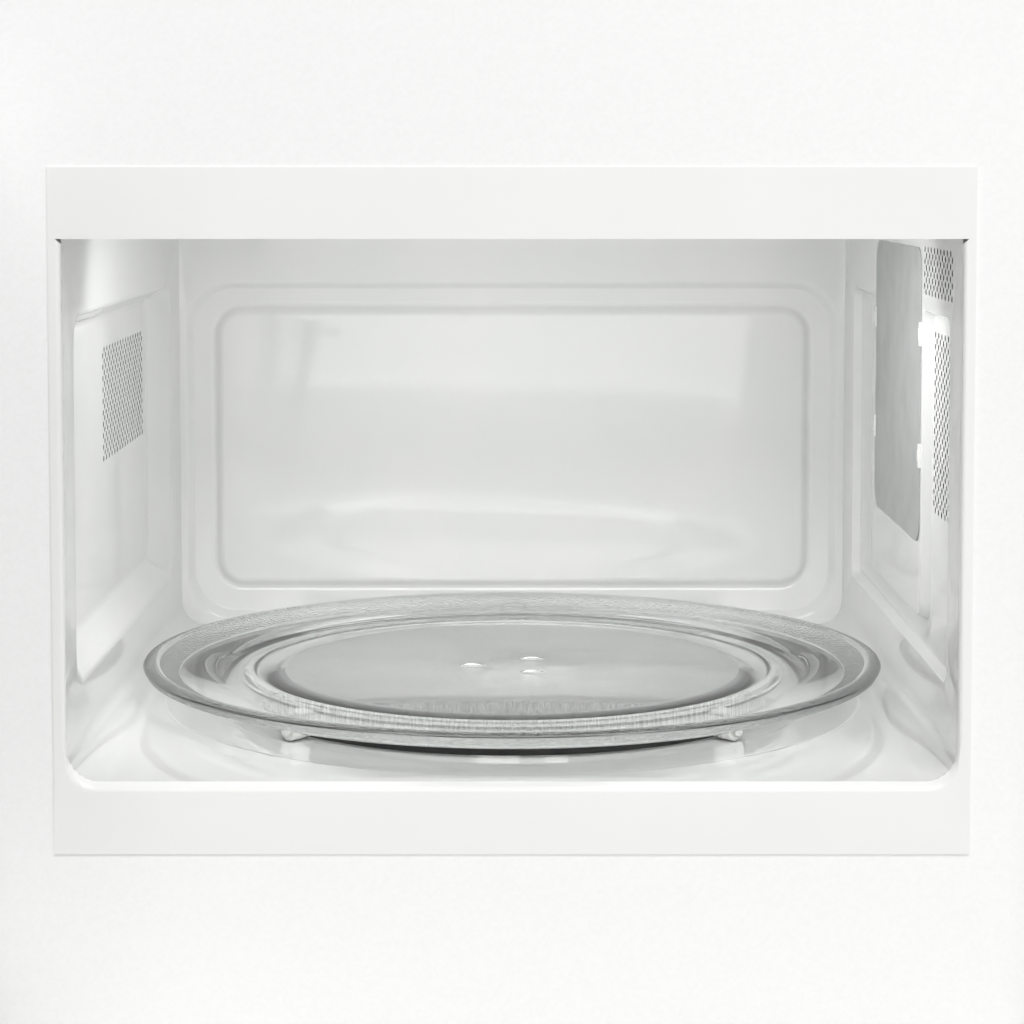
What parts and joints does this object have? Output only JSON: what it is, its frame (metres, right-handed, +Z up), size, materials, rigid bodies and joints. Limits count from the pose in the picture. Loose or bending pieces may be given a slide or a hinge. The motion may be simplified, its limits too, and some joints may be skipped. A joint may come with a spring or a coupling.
{
  "type": "built-in microwave oven",
  "caption": "Built-in microwave oven with a white enamelled cavity, a glass turntable on a roller ring, a side-hinged door with sprung hooks, and a control panel.",
  "frame": {"origin": "x = 0 at the middle of the oven opening, y = 0 at the front face of the plate round the opening, z = 0 on the surface that the feet stand on", "axes": "+Z up, +Y from the front into the oven, +X to the right as seen from the front"},
  "size_m": [0.6095, 0.7913, 0.386],
  "materials": {
    "cavity_enamel": "white vitreous enamel, glossy",
    "front_enamel": "white enamel, satin gloss",
    "front_paint": "white powder coat",
    "case_steel": "bright zinc-coated sheet steel",
    "tray_glass": "clear pressed soda-lime glass",
    "ring_plastic": "white moulded plastic",
    "drive_steel": "turned steel",
    "mica": "grey mica sheet, dull",
    "clip_plastic": "white moulded plastic",
    "foot_rubber": "black rubber",
    "screw_steel": "plated steel",
    "magnetron_aluminium": "plain aluminium",
    "core_iron": "varnished laminations and coils",
    "can_aluminium": "drawn aluminium can",
    "fan_plastic": "black moulded plastic",
    "lamp_parts": "clear lamp glass and holder",
    "circuit_board": "green circuit board",
    "panel_plastic": "white moulded plastic",
    "dark_glass": "dark tinted glass",
    "clear_glass": "clear glass",
    "screen_steel": "black painted punched steel",
    "choke_plastic": "grey moulded plastic",
    "latch_plastic": "white acetal",
    "switch_plastic": "black moulded plastic"
  },
  "bodies": {
    "housing": {"cavity_wrap": "cavity_enamel", "cavity_ceiling": "cavity_enamel", "cavity_back": "cavity_enamel", "cavity_front_plate": "front_enamel", "waveguide_cover": "mica", "mica_clips": "clip_plastic", "front_frame": "front_paint", "base_plate": "case_steel", "base_feet": "foot_rubber", "outer_case": "case_steel", "rear_panel": "case_steel", "cable_inlet": "foot_rubber", "case_screws": "screw_steel", "turntable_motor": "drive_steel", "waveguide": "case_steel", "magnetron": "magnetron_aluminium", "transformer": "core_iron", "capacitor": "can_aluminium", "fan_plate": "case_steel", "fan_motor": "core_iron", "oven_lamp": "lamp_parts", "filter_board": "circuit_board", "thermal_cutouts": "switch_plastic", "control_panel": "panel_plastic", "display_window": "dark_glass", "control_board": "circuit_board", "latch_bracket": "latch_plastic", "interlock_switches": "switch_plastic", "hinge_brackets": "case_steel"},
    "door": {"door_skin": "panel_plastic", "door_outer_glass": "dark_glass", "door_frame": "front_paint", "door_screen": "screen_steel", "choke_cover": "choke_plastic", "door_inner_window": "clear_glass"},
    "latch": {"latch_hooks": "latch_plastic"},
    "turntable": {"glass_tray": "tray_glass", "turntable_coupler": "ring_plastic", "drive_shaft": "drive_steel"},
    "ring": {"roller_ring": "ring_plastic"},
    "roller_a": {"roller_1": "ring_plastic"},
    "roller_b": {"roller_2": "ring_plastic"},
    "roller_c": {"roller_3": "ring_plastic"},
    "roller_d": {"roller_4": "ring_plastic"},
    "fan": {"fan_rotor": "fan_plastic"},
    "knob": {"selector_knob": "panel_plastic"},
    "start": {"start_key": "panel_plastic"},
    "stop": {"stop_key": "panel_plastic"},
    "button": {"door_button": "panel_plastic"},
    "release": {"release_slide": "latch_plastic"},
    "low_plunger": {"lower_plunger": "switch_plastic"},
    "high_plunger": {"upper_plunger": "switch_plastic"}
  },
  "joints": [
    {"name": "door_hinge", "type": "hinge", "parent": "housing", "child": "door", "pos_m": [-0.205, -0.014, 0], "axis": [0, 0, 1], "range_deg": [-10, 90]},
    {"name": "latch_lift", "type": "slide", "parent": "door", "child": "latch", "axis": [0, 0, 1], "range_m": [0, 0.0054]},
    {"name": "turntable_spin", "type": "hinge", "parent": "housing", "child": "turntable", "pos_m": [0, 0.1605, 0], "axis": [0, 0, 1], "continuous": true},
    {"name": "ring_spin", "type": "hinge", "parent": "housing", "child": "ring", "pos_m": [0, 0.1605, 0], "axis": [0, 0, 1], "continuous": true},
    {"name": "roller_a_spin", "type": "hinge", "parent": "ring", "child": "roller_a", "pos_m": [0.08627, 0.24677, 0.0976], "axis": [0.7071, 0.7071, 0], "continuous": true},
    {"name": "roller_b_spin", "type": "hinge", "parent": "ring", "child": "roller_b", "pos_m": [-0.08627, 0.24677, 0.0976], "axis": [-0.7071, 0.7071, 0], "continuous": true},
    {"name": "roller_c_spin", "type": "hinge", "parent": "ring", "child": "roller_c", "pos_m": [-0.08627, 0.07423, 0.0976], "axis": [-0.7071, -0.7071, 0], "continuous": true},
    {"name": "roller_d_spin", "type": "hinge", "parent": "ring", "child": "roller_d", "pos_m": [0.08627, 0.07423, 0.0976], "axis": [0.7071, -0.7071, 0], "continuous": true},
    {"name": "fan_spin", "type": "hinge", "parent": "housing", "child": "fan", "pos_m": [0.268, 0.347, 0.205], "axis": [0, 1, 0], "continuous": true},
    {"name": "knob_turn", "type": "hinge", "parent": "housing", "child": "knob", "pos_m": [0.295, -0.05, 0.205], "axis": [0, 1, 0], "continuous": true},
    {"name": "start_press", "type": "slide", "parent": "housing", "child": "start", "axis": [0, 1, 0], "range_m": [0, 0.0015], "stiffness_N_per_m": 400},
    {"name": "stop_press", "type": "slide", "parent": "housing", "child": "stop", "axis": [0, 1, 0], "range_m": [0, 0.0015], "stiffness_N_per_m": 400},
    {"name": "button_press", "type": "slide", "parent": "housing", "child": "button", "axis": [0, 1, 0], "range_m": [0, 0.006], "stiffness_N_per_m": 600},
    {"name": "release_lift", "type": "slide", "parent": "housing", "child": "release", "axis": [0, 0, 1], "range_m": [0, 0.006]},
    {"name": "low_plunger_press", "type": "slide", "parent": "housing", "child": "low_plunger", "axis": [0, 1, 0], "range_m": [0, 0.0015], "stiffness_N_per_m": 200},
    {"name": "high_plunger_press", "type": "slide", "parent": "housing", "child": "high_plunger", "axis": [0, 1, 0], "range_m": [0, 0.0015], "stiffness_N_per_m": 200}
  ],
  "couplings": [
    {"joint": "latch_lift", "follows": "button_press", "ratio": 0.9},
    {"joint": "release_lift", "follows": "button_press", "ratio": 1},
    {"joint": "ring_spin", "follows": "turntable_spin", "ratio": 0.5},
    {"joint": "roller_a_spin", "follows": "turntable_spin", "ratio": -13.556},
    {"joint": "roller_b_spin", "follows": "turntable_spin", "ratio": -13.556},
    {"joint": "roller_c_spin", "follows": "turntable_spin", "ratio": -13.556},
    {"joint": "roller_d_spin", "follows": "turntable_spin", "ratio": -13.556}
  ]
}
